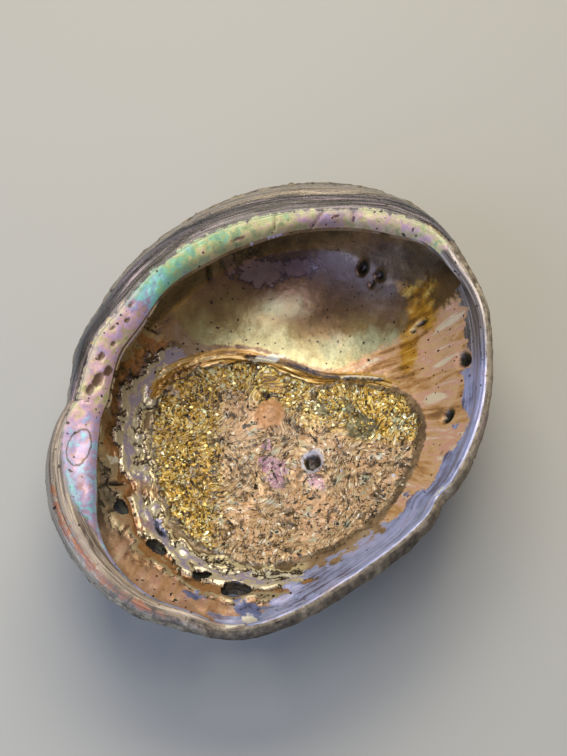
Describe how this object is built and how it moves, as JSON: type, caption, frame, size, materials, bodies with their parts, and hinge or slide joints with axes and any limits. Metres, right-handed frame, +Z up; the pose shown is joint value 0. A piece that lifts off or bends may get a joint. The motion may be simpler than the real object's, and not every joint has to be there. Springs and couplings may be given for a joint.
{
  "type": "abalone shell",
  "caption": "Empty abalone shell on its back: an oval bowl of iridescent nacre with a rolled shelf, a rough muscle scar and a row of breathing holes near the front rim.",
  "frame": {"origin": "under the middle of the outline, on the plane that the shell rests on", "axes": "+X towards the spire end, +Y towards the rolled shelf, +Z up out of the open bowl"},
  "size_m": [0.1898, 0.145, 0.057],
  "materials": {
    "shell": "glossy iridescent nacre inside, rough and matt outside"
  },
  "bodies": {
    "root": {"abalone_shell": "shell"}
  },
  "joints": []
}
